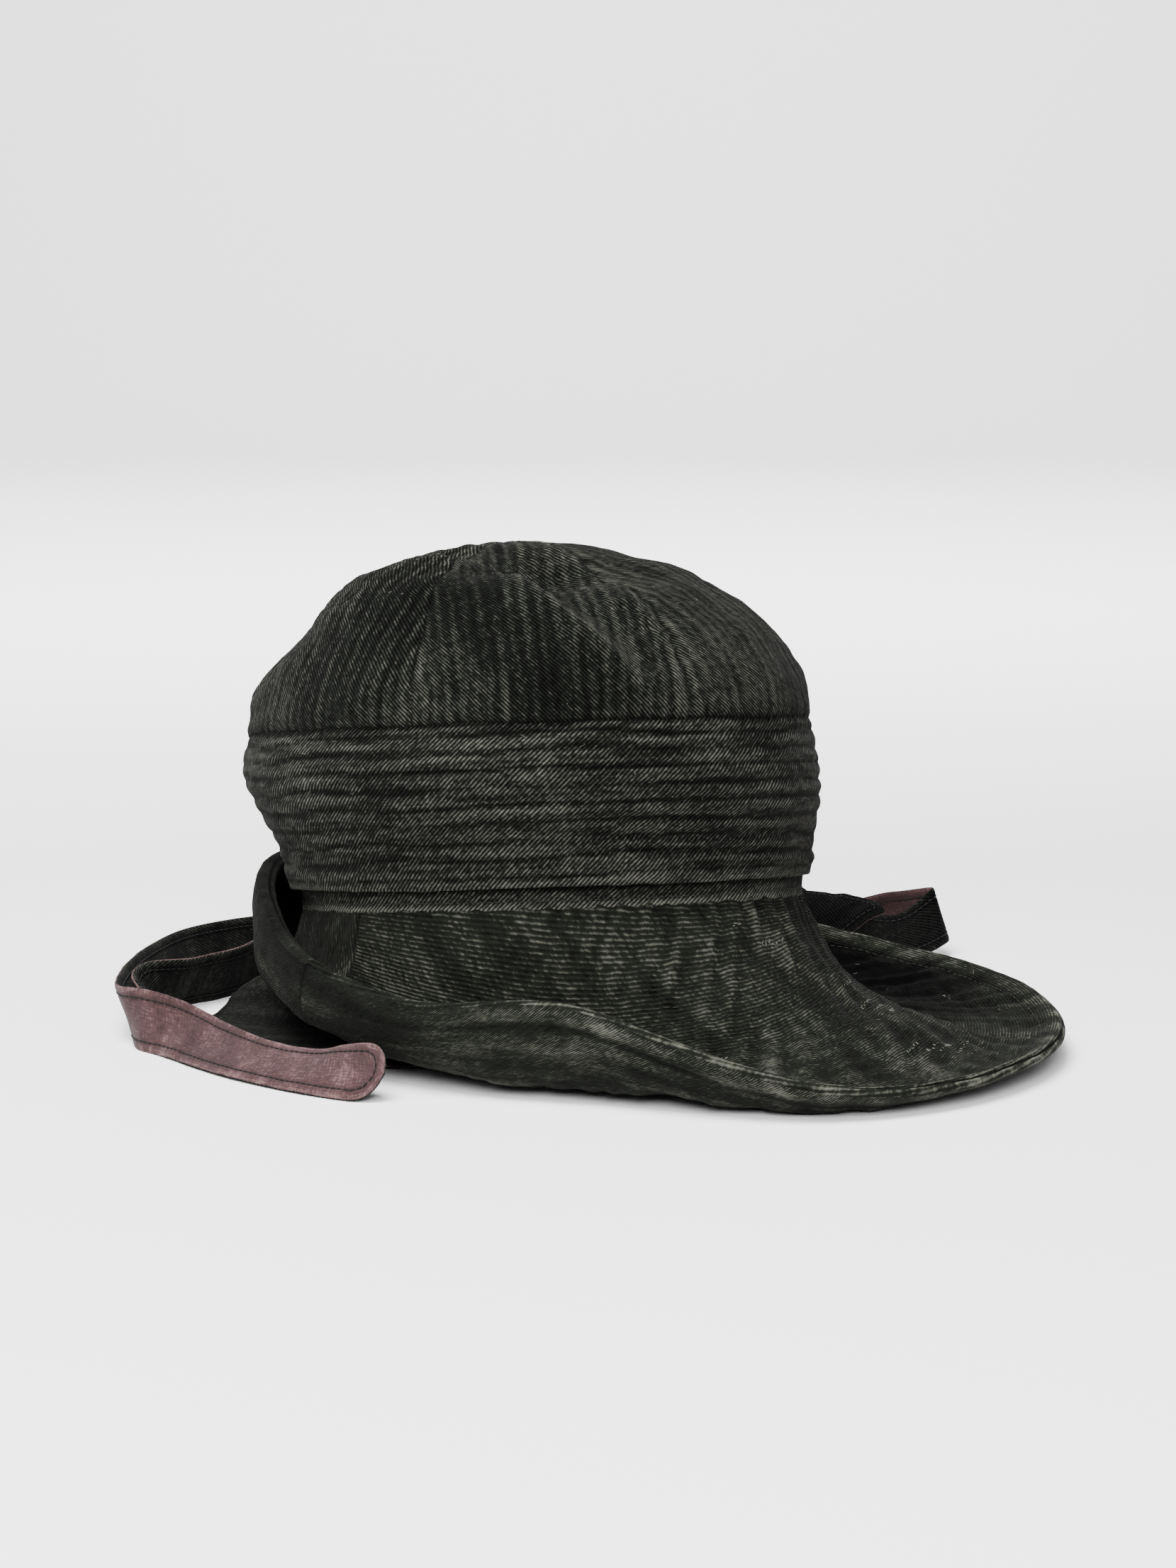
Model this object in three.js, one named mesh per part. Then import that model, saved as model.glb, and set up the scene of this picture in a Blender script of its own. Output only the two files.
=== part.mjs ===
// A washed denim sailor's hat: six soft crown panels over a tall side band, a narrow recessed strip,
// a brim in two panels that is long at the front and turned up round the back, and two ear flaps
// that spread on the surface, each with a long lined strap.
// Millimetres, +Z up. The long front brim points along +X, and the wearer's left is +Y.
import * as THREE from 'three';

// Driving sizes of the hat's body
const headLength = 192;
const headWidth = 169;
const seamHeight = 51;
const stripHeight = 8;
const bandHeight = 58;
const crownHeight = 70;
const frontTilt = 5.2;
const sideTilt = 6.7;

// Driving sizes of the brim, the ear flaps and the straps
const brimWidth = 92;
const flapLength = 130;
const strapWidth = 22;
const strapSpan = 188;

// Cloth and clearances
const bodyCloth = 2;
const brimCloth = 2.4;
const flapPly = 1;
const seamGap = 0.3;
const foldClearance = 3;

const denim = new THREE.MeshStandardMaterial({ color: '#2c2e2b', roughness: 0.92, metalness: 0 });
const brimDenim = new THREE.MeshStandardMaterial({ color: '#31342f', roughness: 0.92, metalness: 0 });
const lining = new THREE.MeshStandardMaterial({ color: '#77595c', roughness: 0.95, metalness: 0 });

const radians = THREE.MathUtils.degToRad;
const hat = new THREE.Group();

// Smooth values between the rows of a table. Rows are evenly spaced; round a ring they wrap.
function between(rows, column, place, ring = false) {
  const count = rows.length;
  const spans = ring ? count : count - 1;
  const at = place * spans;
  const row = ring ? Math.floor(at) : Math.min(Math.max(Math.floor(at), 0), spans - 1);
  const pick = (i) => (ring ? rows[((i % count) + count) % count] : rows[Math.min(Math.max(i, 0), count - 1)]);
  const [a, b, c, d] = [-1, 0, 1, 2].map((i) => pick(row + i)[column]);
  const t = at - row;
  return b + 0.5 * t * (c - a + t * (2 * a - 5 * b + 4 * c - d + t * (3 * (b - c) + d - a)));
}

// A chain of arcs that starts at the first point, ends at the last and rounds the corners between
function roundedChain(points, place) {
  const arcs = points.length - 2;
  const arc = Math.min(Math.floor(place * arcs), arcs - 1);
  const t = place * arcs - arc;
  const start = arc === 0 ? points[0] : points[arc].clone().lerp(points[arc + 1], 0.5);
  const end = arc === arcs - 1 ? points[arc + 2] : points[arc + 1].clone().lerp(points[arc + 2], 0.5);
  const first = start.clone().lerp(points[arc + 1], t);
  return first.lerp(points[arc + 1].clone().lerp(end, t), t);
}

// The surface's direction at a place, square to it
function facing(surface, u, v) {
  const step = 1e-3;
  const along = surface(u + step, v).sub(surface(u - step, v));
  const up = surface(u, Math.min(v + step, 1)).sub(surface(u, Math.max(v - step, 0)));
  return along.cross(up).normalize();
}

// A closed wall of cloth between two offsets of a surface, as an open patch or as a ring
function clothWall(surface, { columns, rows, from, to, ring = false }) {
  const across = ring ? columns : columns + 1;
  const faceSize = across * (rows + 1);
  const positions = [];
  for (const offset of [to, from]) {
    for (let j = 0; j <= rows; j++) {
      for (let i = 0; i < across; i++) {
        const [u, v] = [i / columns, j / rows];
        positions.push(...surface(u, v).addScaledVector(facing(surface, u, v), offset));
      }
    }
  }
  const outer = (i, j) => (i % across) + j * across;
  const inner = (i, j) => faceSize + outer(i, j);
  const index = [];
  const quad = (a, b, c, d) => index.push(a, b, c, a, c, d);
  for (let i = 0; i < columns; i++) {
    for (let j = 0; j < rows; j++) {
      quad(outer(i, j), outer(i + 1, j), outer(i + 1, j + 1), outer(i, j + 1));
      quad(inner(i, j), inner(i, j + 1), inner(i + 1, j + 1), inner(i + 1, j));
    }
    quad(inner(i, 0), inner(i + 1, 0), outer(i + 1, 0), outer(i, 0));
    quad(outer(i, rows), outer(i + 1, rows), inner(i + 1, rows), inner(i, rows));
  }
  for (let j = 0; j < rows && !ring; j++) {
    quad(inner(0, j), outer(0, j), outer(0, j + 1), inner(0, j + 1));
    quad(outer(columns, j), inner(columns, j), inner(columns, j + 1), outer(columns, j + 1));
  }
  const geometry = new THREE.BufferGeometry();
  geometry.setAttribute('position', new THREE.Float32BufferAttribute(positions, 3));
  geometry.setIndex(index);
  geometry.computeVertexNormals();
  return geometry;
}

function addPiece(name, geometry, material) {
  const piece = new THREE.Mesh(geometry, material);
  piece.name = name;
  hat.add(piece);
}

// The head oval's reach from the middle, towards an angle
function headReach(angle) {
  return 1 / Math.hypot(Math.cos(angle) / (headLength / 2), Math.sin(angle) / (headWidth / 2));
}

// A point on the tilted body: rise is measured from the head seam, spread is a share of the head oval
function bodyPoint(angle, spread, rise, back, aside) {
  const reach = headReach(angle) * spread;
  const x = reach * Math.cos(angle) - back * headLength;
  const y = reach * Math.sin(angle) - aside * headWidth;
  const tilt = x * Math.tan(radians(frontTilt)) - y * Math.tan(radians(sideTilt));
  return new THREE.Vector3(x, y, seamHeight + tilt + rise);
}

// Side band, from its lower edge up: spread as a share of the head oval, and the drift of its middle
// as shares of the head's length and width
const bandRows = [
  { spread: 1.05, back: 0.006, aside: 0.003 },
  { spread: 1.085, back: 0.018, aside: 0.008 },
  { spread: 1.13, back: 0.026, aside: 0.012 },
  { spread: 1.145, back: 0.038, aside: 0.017 },
  { spread: 1.125, back: 0.044, aside: 0.02 },
];

// Soft pinches of the band: angle and width in degrees, height and breadth as shares of the band's
// height, depth as a share of the head's width
const bandPinches = [
  { angle: -158, width: 16, height: 0.3, breadth: 0.22, depth: 0.02 },
  { angle: -62, width: 9, height: 0.3, breadth: 0.25, depth: 0.008 },
  { angle: 40, width: 14, height: 0.2, breadth: 0.2, depth: 0.007 },
];

// How far a soft dent pushes in at a place, from 0 to 1
function dentAt(dent, angle, height) {
  const turn = Math.atan2(Math.sin(angle - radians(dent.angle)), Math.cos(angle - radians(dent.angle)));
  return Math.exp(-((turn / radians(dent.width)) ** 2) - ((height - dent.height) / dent.breadth) ** 2);
}

function bandSurface(u, v) {
  const angle = u * 2 * Math.PI;
  let spread = between(bandRows, 'spread', v);
  for (const pinch of bandPinches) {
    spread -= 2 * pinch.depth * dentAt(pinch, angle, v);
  }
  const rise = stripHeight + v * bandHeight;
  return bodyPoint(angle, spread, rise, between(bandRows, 'back', v), between(bandRows, 'aside', v));
}

addPiece('side_band', clothWall(bandSurface, { columns: 60, rows: 7, from: -bodyCloth, to: 0, ring: true }), denim);

// Recessed strip under the band: it stands on the head seam and tucks up behind the band's lower edge
const stripTuck = 0.1;

function stripSurface(u, v) {
  const angle = u * 2 * Math.PI;
  const tucked = bandSurface(u, stripTuck);
  const inward = facing(bandSurface, u, stripTuck);
  const top = tucked.addScaledVector(inward, -bodyCloth - seamGap);
  const foot = bodyPoint(angle, 1, seamGap, 0, 0);
  const bend = bodyPoint(angle, 1, 0.8 * stripHeight, 0, 0);
  return roundedChain([foot, bend, top], v);
}

addPiece('lower_strip', clothWall(stripSurface, { columns: 60, rows: 2, from: -bodyCloth, to: 0, ring: true }), denim);

// Crown: six panels whose seams pull in a little
const panelCount = 6;
const firstSeam = -90;
const seamPull = 0.016;
const seamPullWidth = 4.5;
const crownSpread = bandRows[bandRows.length - 1].spread;
const crownBack = 0.072;
const crownAside = 0.036;

// Dents of the crown: the place as an angle round and a climb from the band to the top, in degrees,
// breadth round and up as shares of the crown's reach, sink as a share of the crown's height and push
// (towards the middle) as a share of the reach there
const crownDents = [
  { angle: -52, climb: 58, round: 0.3, up: 0.16, sink: 0.13, push: 0.05 },
  { angle: -90, climb: 48, round: 0.2, up: 0.14, sink: -0.04, push: -0.05 },
  { angle: -152, climb: 34, round: 0.35, up: 0.2, sink: 0.03, push: 0.07 },
  { angle: 75, climb: 60, round: 0.4, up: 0.24, sink: 0.08, push: 0.02 },
  { angle: 165, climb: 45, round: 0.3, up: 0.2, sink: 0.05, push: 0.04 },
];

// How far a dent of the crown pushes in at a place, from 0 to 1
function crownDentAt(dent, angle, climb) {
  const turn = angle - radians(dent.angle);
  const tip = radians(dent.climb);
  const round = Math.cos(climb) * Math.sin(turn);
  const up = Math.sin(climb) * Math.cos(tip) - Math.cos(climb) * Math.cos(turn) * Math.sin(tip);
  const front = Math.cos(climb) * Math.cos(turn) * Math.cos(tip) + Math.sin(climb) * Math.sin(tip);
  return front > 0 ? Math.exp(-((round / dent.round) ** 2) - (up / dent.up) ** 2) : 0;
}

function crownSurface(angle, v) {
  const climb = v * Math.PI * 0.5;
  let spread = crownSpread * Math.cos(climb);
  let rise = crownHeight * Math.sin(climb);
  for (const dent of crownDents) {
    const share = crownDentAt(dent, angle, climb);
    rise -= dent.sink * crownHeight * share;
    spread *= 1 - dent.push * share;
  }
  for (let seam = 0; seam < panelCount; seam++) {
    const pull = { angle: firstSeam + (seam * 360) / panelCount, width: seamPullWidth, height: 0.4, breadth: 0.5 };
    spread *= 1 - seamPull * dentAt(pull, angle, v);
  }
  const top = bandRows[bandRows.length - 1];
  const back = THREE.MathUtils.lerp(top.back, crownBack, Math.sin(climb) ** 2);
  const aside = THREE.MathUtils.lerp(top.aside, crownAside, Math.sin(climb) ** 2);
  return bodyPoint(angle, spread, stripHeight + bandHeight + seamGap + rise, back, aside);
}

// Panels stop short of the very top, where their points meet
const crownEnd = 0.98;

function crownPanel(seam) {
  const start = radians(firstSeam + (seam * 360) / panelCount);
  const sweep = (2 * Math.PI) / panelCount;
  return (u, v) => {
    const climb = v * crownEnd;
    const reach = headReach(start + u * sweep) * crownSpread * Math.cos(climb * Math.PI * 0.5);
    const gap = seamGap / reach;
    return crownSurface(start + gap / 2 + u * (sweep - gap), climb);
  };
}

for (let seam = 0; seam < panelCount; seam++) {
  const wall = clothWall(crownPanel(seam), { columns: 10, rows: 9, from: -bodyCloth, to: 0 });
  addPiece(`crown_panel_${seam + 1}`, wall, denim);
}

// Brim, every 30 degrees from the front towards the wearer's left: two folds, a curl and the edge, each
// with its reach beyond the head seam as a share of the brim's width and its height as a share of the
// head seam's height
const brimRows = [
  { inOut: 0.14, inUp: 0.63, outOut: 0.5, outUp: 0.28, curlOut: 0.89, curlUp: 0, edgeOut: 1.08, edgeUp: 0.12 },
  { inOut: 0.12, inUp: 0.3, outOut: 0.42, outUp: 0.06, curlOut: 0.82, curlUp: 0.06, edgeOut: 1.0, edgeUp: 0.23 },
  { inOut: 0.12, inUp: 0.24, outOut: 0.36, outUp: 0.1, curlOut: 0.68, curlUp: 0.1, edgeOut: 0.82, edgeUp: 0.32 },
  { inOut: 0.12, inUp: 0.24, outOut: 0.34, outUp: 0.16, curlOut: 0.5, curlUp: 0.25, edgeOut: 0.55, edgeUp: 0.58 },
  { inOut: 0.1, inUp: 0.26, outOut: 0.3, outUp: 0.2, curlOut: 0.44, curlUp: 0.32, edgeOut: 0.44, edgeUp: 0.8 },
  { inOut: 0.08, inUp: 0.32, outOut: 0.24, outUp: 0.26, curlOut: 0.34, curlUp: 0.45, edgeOut: 0.32, edgeUp: 1.05 },
  { inOut: 0.06, inUp: 0.4, outOut: 0.19, outUp: 0.36, curlOut: 0.27, curlUp: 0.6, edgeOut: 0.22, edgeUp: 1.15 },
  { inOut: 0.06, inUp: 0.44, outOut: 0.15, outUp: 0.42, curlOut: 0.2, curlUp: 0.62, edgeOut: 0.14, edgeUp: 0.95 },
  { inOut: 0.08, inUp: 0.32, outOut: 0.2, outUp: 0.28, curlOut: 0.26, curlUp: 0.46, edgeOut: 0.2, edgeUp: 0.72 },
  { inOut: 0.1, inUp: 0.16, outOut: 0.25, outUp: 0.13, curlOut: 0.32, curlUp: 0.38, edgeOut: 0.29, edgeUp: 0.57 },
  { inOut: 0.14, inUp: 0.08, outOut: 0.35, outUp: 0.04, curlOut: 0.42, curlUp: 0.32, edgeOut: 0.39, edgeUp: 0.6 },
  { inOut: 0.3, inUp: 0.4, outOut: 0.62, outUp: 0.12, curlOut: 0.84, curlUp: -0.05, edgeOut: 0.93, edgeUp: 0.1 },
];

function brimSurface(angle, v) {
  const place = angle / (2 * Math.PI);
  const seam = bodyPoint(angle, 1, 0, 0, 0);
  const reach = Math.hypot(seam.x, seam.y);
  const points = ['in', 'out', 'curl', 'edge'].map((name) => {
    const out = (reach + between(brimRows, `${name}Out`, place, true) * brimWidth) / reach;
    const up = brimCloth + between(brimRows, `${name}Up`, place, true) * seamHeight;
    return new THREE.Vector3(seam.x * out, seam.y * out, up);
  });
  return roundedChain([seam, ...points], v);
}

// The brim's two panels meet at a seam on each side, behind the ears
const brimSeam = 118;

function brimPanel(start, end) {
  const gap = seamGap / headWidth;
  return (u, v) => brimSurface(radians(start) + gap + u * (radians(end - start) - 2 * gap), v);
}

const brimWall = { rows: 8, from: 0, to: brimCloth };
addPiece('front_brim', clothWall(brimPanel(-brimSeam, brimSeam), { columns: 44, ...brimWall }), brimDenim);
addPiece('back_brim', clothWall(brimPanel(brimSeam, 360 - brimSeam), { columns: 26, ...brimWall }), brimDenim);

// Ear flaps: each hangs from the head seam inside the brim, passes under the brim's fold and spreads
// outside. Rows run from the flap's bend to its end: the place of its middle from the hat's middle, its
// height there, the further rise of its first side and its half width are shares of the flap's length,
// and turn is the direction across in degrees
const flapThickness = 2 * flapPly + seamGap;
const flapCorner = 0.06;
const flaps = {
  right: {
    root: -125,
    rootHalf: 33,
    strapAt: 0.35,
    rows: [
      { x: -0.32, y: -0.37, up: 0, rise: 0.13, half: 0.35, turn: -27 },
      { x: -0.49, y: -0.35, up: 0, rise: 0.1, half: 0.43, turn: -49 },
      { x: -0.68, y: -0.36, up: 0, rise: 0.095, half: 0.42, turn: -61 },
      { x: -0.83, y: -0.4, up: 0, rise: 0.065, half: 0.38, turn: -63 },
      { x: -0.94, y: -0.42, up: 0, rise: 0, half: 0.27, turn: -75 },
    ],
  },
  left: {
    root: 105,
    rootHalf: 33,
    strapAt: 0.7,
    rows: [
      { x: -0.127, y: 0.56, up: 0.09, rise: 0, half: 0.3, turn: -168 },
      { x: -0.02, y: 0.85, up: 0, rise: 0, half: 0.35, turn: -174 },
      { x: 0.1, y: 1.07, up: 0, rise: 0, half: 0.34, turn: 178 },
      { x: 0.18, y: 1.18, up: 0.19, rise: -0.02, half: 0.34, turn: 172 },
      { x: 0.27, y: 1.29, up: 0.225, rise: -0.02, half: 0.37, turn: 170 },
    ],
  },
};

function flapSurface(flap) {
  const middle = radians(flap.root);
  return (u, v) => {
    const side = 2 * u - 1;
    const angle = middle + side * radians(flap.rootHalf);
    const inside = 1 - (brimCloth + foldClearance) / headReach(angle);
    const points = [bodyPoint(angle, inside, -brimCloth, 0, 0)];
    for (const row of flap.rows) {
      const turn = radians(row.turn);
      const x = row.x + side * row.half * Math.cos(turn);
      const y = row.y + side * row.half * Math.sin(turn);
      const up = row.up + row.rise * Math.max(-side, 0) ** 2;
      points.push(new THREE.Vector3(x, y, up).multiplyScalar(flapLength).setZ(up * flapLength + flapThickness));
    }
    const last = points.length - 1;
    const pull = points[last - 1].clone().sub(points[last]).normalize();
    points[last].addScaledVector(pull, flapCorner * flapLength * side ** 6);
    return roundedChain(points, v);
  };
}

for (const [side, flap] of Object.entries(flaps)) {
  const surface = flapSurface(flap);
  const outside = { columns: 10, rows: 12, from: 0, to: flapPly };
  const inside = { columns: 10, rows: 12, from: flapPly + seamGap, to: flapThickness };
  addPiece(`${side}_ear_flap`, clothWall(surface, outside), denim);
  addPiece(`${side}_flap_lining`, clothWall(surface, inside), lining);
}

// Straps: each is sewn to the middle of its flap's end, turns on edge and runs along the surface.
// Rows run along the strap: the middle's place and the height of its lower edge are shares of the
// strap's span, lean is its tilt from upright towards its left side in degrees
const straps = {
  right: {
    liningSide: -1,
    rows: [
      { x: -0.788, y: -0.255, lift: 0, lean: 40 },
      { x: -0.8, y: -0.21, lift: 0, lean: 0 },
      { x: -0.792, y: -0.15, lift: 0, lean: -28 },
      { x: -0.787, y: -0.085, lift: 0, lean: -42 },
      { x: -0.76, y: 0, lift: 0, lean: -30 },
      { x: -0.76, y: 0.096, lift: 0, lean: -18 },
      { x: -0.766, y: 0.2, lift: 0, lean: -10 },
      { x: -0.72, y: 0.37, lift: 0, lean: 0 },
      { x: -0.61, y: 0.52, lift: 0, lean: 0 },
      { x: -0.45, y: 0.63, lift: 0, lean: 0 },
      { x: -0.29, y: 0.69, lift: 0, lean: 0 },
    ],
  },
  left: {
    liningSide: 1,
    rows: [
      { x: 0.13, y: 1.03, lift: 0.1, lean: -75 },
      { x: 0.21, y: 1.1, lift: 0.02, lean: -40 },
      { x: 0.31, y: 1.14, lift: 0.015, lean: -10 },
      { x: 0.4, y: 1.15, lift: 0.03, lean: -10 },
      { x: 0.425, y: 1.115, lift: 0.03, lean: -25 },
      { x: 0.388, y: 1.055, lift: 0.01, lean: -45 },
      { x: 0.33, y: 1.005, lift: 0, lean: -40 },
      { x: 0.247, y: 0.955, lift: 0, lean: -15 },
      { x: 0.152, y: 0.933, lift: 0, lean: 0 },
      { x: -0.115, y: 0.938, lift: 0, lean: 0 },
      { x: -0.34, y: 0.856, lift: 0, lean: 0 },
      { x: -0.593, y: 0.704, lift: 0, lean: 0 },
      { x: -0.776, y: 0.506, lift: 0, lean: 0 },
      { x: -0.872, y: 0.335, lift: 0, lean: 0 },
      { x: -0.925, y: 0.15, lift: 0, lean: -12 },
      { x: -0.9, y: -0.03, lift: 0, lean: -20 },
      { x: -0.85, y: -0.19, lift: 0, lean: -24 },
      { x: -0.785, y: -0.335, lift: 0, lean: -24 },
      { x: -0.725, y: -0.44, lift: 0, lean: -16 },
      { x: -0.66, y: -0.485, lift: 0, lean: 12 },
      { x: -0.59, y: -0.495, lift: 0, lean: 38 },
      { x: -0.53, y: -0.515, lift: 0, lean: 52 },
      { x: -0.46, y: -0.55, lift: 0, lean: 60 },
      { x: -0.351, y: -0.601, lift: 0, lean: 64 },
      { x: -0.223, y: -0.644, lift: 0, lean: 62 },
      { x: -0.112, y: -0.676, lift: 0, lean: 44 },
      { x: -0.015, y: -0.69, lift: 0, lean: 32 },
    ],
  },
};

function strapSurface(strap, flap) {
  const cloth = flapSurface(flap);
  const edge = cloth(flap.strapAt + 0.05, 1).sub(cloth(flap.strapAt - 0.05, 1));
  const outward = facing(cloth, flap.strapAt, 1);
  const ahead = outward.clone().cross(edge).setZ(0).normalize();
  const half = strapWidth / 2;
  const start = cloth(flap.strapAt, 1).addScaledVector(outward, flapThickness / 2);
  const rows = [2 * seamGap, half].map((step) => {
    const place = start.clone().addScaledVector(ahead, step).divideScalar(strapSpan);
    return { x: place.x, y: place.y, lift: place.z - flapThickness / 2 / strapSpan, lean: -90 * strap.liningSide };
  });
  rows.push(...strap.rows);
  const route = rows.map((row) => new THREE.Vector3(row.x, row.y, 0).multiplyScalar(strapSpan));
  const curve = new THREE.CatmullRomCurve3(route, false, 'catmullrom', 0.5);
  const length = curve.getLength();
  return (u, v) => {
    const place = Math.min(Math.max(u, 0), 1);
    const travel = curve.getTangent(place);
    const lean = radians(between(rows, 'lean', place));
    const middle = curve.getPoint(place);
    middle.z = Math.max(between(rows, 'lift', place), 0) * strapSpan;
    middle.z += half * Math.abs(Math.cos(lean)) + (flapThickness / 2) * Math.abs(Math.sin(lean));
    const across = new THREE.Vector3(-travel.y, travel.x, 0).normalize().multiplyScalar(Math.sin(lean));
    across.z = Math.cos(lean);
    const toTip = Math.min(((1 - place) * length) / half, 1);
    const narrowed = Math.max(Math.sqrt(1 - (1 - toTip) ** 2), 0.3);
    return middle.addScaledVector(across, (2 * v - 1) * half * narrowed);
  };
}

for (const [side, strap] of Object.entries(straps)) {
  const surface = strapSurface(strap, flaps[side]);
  const columns = 3 * (strap.rows.length + 1);
  const linedFrom = strap.liningSide > 0 ? seamGap / 2 : -seamGap / 2 - flapPly;
  const denimFrom = strap.liningSide > 0 ? -seamGap / 2 - flapPly : seamGap / 2;
  const denimWall = clothWall(surface, { columns, rows: 1, from: denimFrom, to: denimFrom + flapPly });
  const liningWall = clothWall(surface, { columns, rows: 1, from: linedFrom, to: linedFrom + flapPly });
  addPiece(`${side}_strap`, denimWall, denim);
  addPiece(`${side}_strap_lining`, liningWall, lining);
}

// The hat stands on the surface with the middle of its outline over the origin
hat.updateMatrixWorld(true);
const outline = new THREE.Box3().setFromObject(hat, true);
const middle = outline.getCenter(new THREE.Vector3());
hat.position.set(-middle.x, -middle.y, -outline.min.z);

export default hat;
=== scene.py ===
import math

import bpy
import numpy as np
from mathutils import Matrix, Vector


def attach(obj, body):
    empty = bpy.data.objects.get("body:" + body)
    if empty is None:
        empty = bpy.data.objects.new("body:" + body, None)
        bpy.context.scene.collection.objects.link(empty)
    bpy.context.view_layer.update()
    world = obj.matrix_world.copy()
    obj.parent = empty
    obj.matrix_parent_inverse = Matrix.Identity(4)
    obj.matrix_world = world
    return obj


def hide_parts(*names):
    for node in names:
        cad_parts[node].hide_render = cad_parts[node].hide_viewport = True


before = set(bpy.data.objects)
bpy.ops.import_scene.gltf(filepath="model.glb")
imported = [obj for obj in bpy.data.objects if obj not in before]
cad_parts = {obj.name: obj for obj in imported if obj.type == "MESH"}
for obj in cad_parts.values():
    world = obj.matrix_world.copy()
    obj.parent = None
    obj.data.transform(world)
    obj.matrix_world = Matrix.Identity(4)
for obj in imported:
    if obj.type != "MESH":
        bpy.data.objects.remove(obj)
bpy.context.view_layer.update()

# Camera: an 85 mm lens a little above the table, looking across the bill's near side as the
# photograph does, with no blur in depth.
# HAT_MIDDLE is the middle of the head oval, in millimetres from the middle of the whole spread hat.
HAT_MIDDLE = np.array([-9.2998, -41.6084, 0.0])
CAMERA_PLACE = [595.6, -1244.3, 293.2]
CAMERA_AZIMUTH = 25
CAMERA_DROP = 8.165
LENS_LENGTH = 85
SENSOR_WIDTH = 36


def placed(points):
    """Millimetres from the middle of the head oval, as metres in the shared frame."""
    return (np.asarray(points, float) + HAT_MIDDLE) / 1000


def added(name, data):
    """A new object in the scene."""
    made = bpy.data.objects.new(name, data)
    bpy.context.scene.collection.objects.link(made)
    return made


camera = added("camera", bpy.data.cameras.new("camera"))
camera.data.lens = LENS_LENGTH
camera.data.sensor_width = SENSOR_WIDTH
camera.location = placed(CAMERA_PLACE)
camera.rotation_euler = (math.radians(90 - CAMERA_DROP), 0, math.radians(CAMERA_AZIMUTH))
bpy.context.scene.camera = camera


# Table and light: a pale sweep of paper that curves up behind the hat, a broad soft light over its
# left side, a weaker one in front on the right, and one on the paper alone.
SWEEP_WIDTH = 12.0
SWEEP_DEPTH = 4.0
SWEEP_RADIUS = 1.5
SWEEP_HEIGHT = 5.0
SWEEP_STEPS = 12


def linear(code):
    """A screen colour such as #2c2e2b, as the renderer's linear values."""
    parts = [int(code[i : i + 2], 16) / 255 for i in (1, 3, 5)]
    return [p / 12.92 if p <= 0.04045 else ((p + 0.055) / 1.055) ** 2.4 for p in parts] + [1.0]


class Shader:
    """A material's node tree, filled one node at a time."""

    def __init__(self, name):
        self.material = bpy.data.materials.new(name)
        self.material.use_nodes = True
        self.tree = self.material.node_tree
        self.tree.nodes.clear()

    def node(self, kind, inputs=None, output=0, stops=(), **settings):
        """Adds one node with its settings, a ramp's stops, and its inputs as values or links."""
        made = self.tree.nodes.new(kind)
        for key, value in settings.items():
            setattr(made, key, value)
        while stops and len(made.color_ramp.elements) < len(stops):
            made.color_ramp.elements.new(0.5)
        for i, (place, code) in enumerate(stops):
            made.color_ramp.elements[i].position = place
            made.color_ramp.elements[i].color = linear(code)
        for socket, value in (inputs or {}).items():
            if isinstance(value, bpy.types.NodeSocket):
                self.tree.links.new(value, made.inputs[socket])
            else:
                made.inputs[socket].default_value = value
        return made.outputs[output] if made.outputs else None


def plain_material(name, code, roughness, specular=0.5):
    """A material of one colour and one roughness."""
    s = Shader(name)
    finish = {"Base Color": linear(code), "Roughness": roughness, "Specular IOR Level": specular}
    s.node("ShaderNodeOutputMaterial", {"Surface": s.node("ShaderNodeBsdfPrincipled", finish)})
    return s.material


# Matt white paper, uncoated: it gives an even pale ground with soft shadows and no highlight.
paper = plain_material("matt_white_paper", "#f4f4f5", 0.95)

sweep_line = [(-SWEEP_DEPTH, 0.0), (SWEEP_DEPTH, 0.0)]
for step in range(1, SWEEP_STEPS + 1):
    turn = math.radians(90 * step / SWEEP_STEPS)
    sweep_line.append(
        (SWEEP_DEPTH + SWEEP_RADIUS * math.sin(turn), SWEEP_RADIUS * (1 - math.cos(turn)))
    )
sweep_line.append((SWEEP_DEPTH + SWEEP_RADIUS, SWEEP_HEIGHT))
ahead = (-math.sin(math.radians(CAMERA_AZIMUTH)), math.cos(math.radians(CAMERA_AZIMUTH)))
sweep_points = [
    (ahead[0] * depth + ahead[1] * side, ahead[1] * depth - ahead[0] * side, height)
    for depth, height in sweep_line
    for side in (-SWEEP_WIDTH / 2, SWEEP_WIDTH / 2)
]
sweep_faces = [(2 * i, 2 * i + 1, 2 * i + 3, 2 * i + 2) for i in range(len(sweep_line) - 1)]
sweep_mesh = bpy.data.meshes.new("paper_sweep")
sweep_mesh.from_pydata(sweep_points, [], sweep_faces)
sweep_mesh.shade_smooth()
sweep_mesh.materials.append(paper)
sweep = added("paper_sweep", sweep_mesh)


def soft_light(name, size, watts, place, aim=(0, 0, 0.05)):
    """A square soft light."""
    light = added(name, bpy.data.lights.new(name, "AREA"))
    light.data.size = size
    light.data.energy = watts
    light.location = place
    light.rotation_euler = (Vector(aim) - light.location).to_track_quat("-Z", "Y").to_euler()


soft_light("light_front", size=1.2, watts=82, place=(0.75, -1.8, 1.2))
soft_light("light_above", size=1.4, watts=165, place=(-0.3, -0.7, 2.15))
soft_light("light_on_paper", size=3.0, watts=420, place=(-0.6, 1.3, 2.6), aim=(-2.3, 5.0, 0.9))

world = bpy.data.worlds.new("studio_air")
world.use_nodes = True
air = world.node_tree.nodes["Background"].inputs
air["Color"].default_value = linear("#f8f8fa")
air["Strength"].default_value = 0.28
bpy.context.scene.world = world


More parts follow.
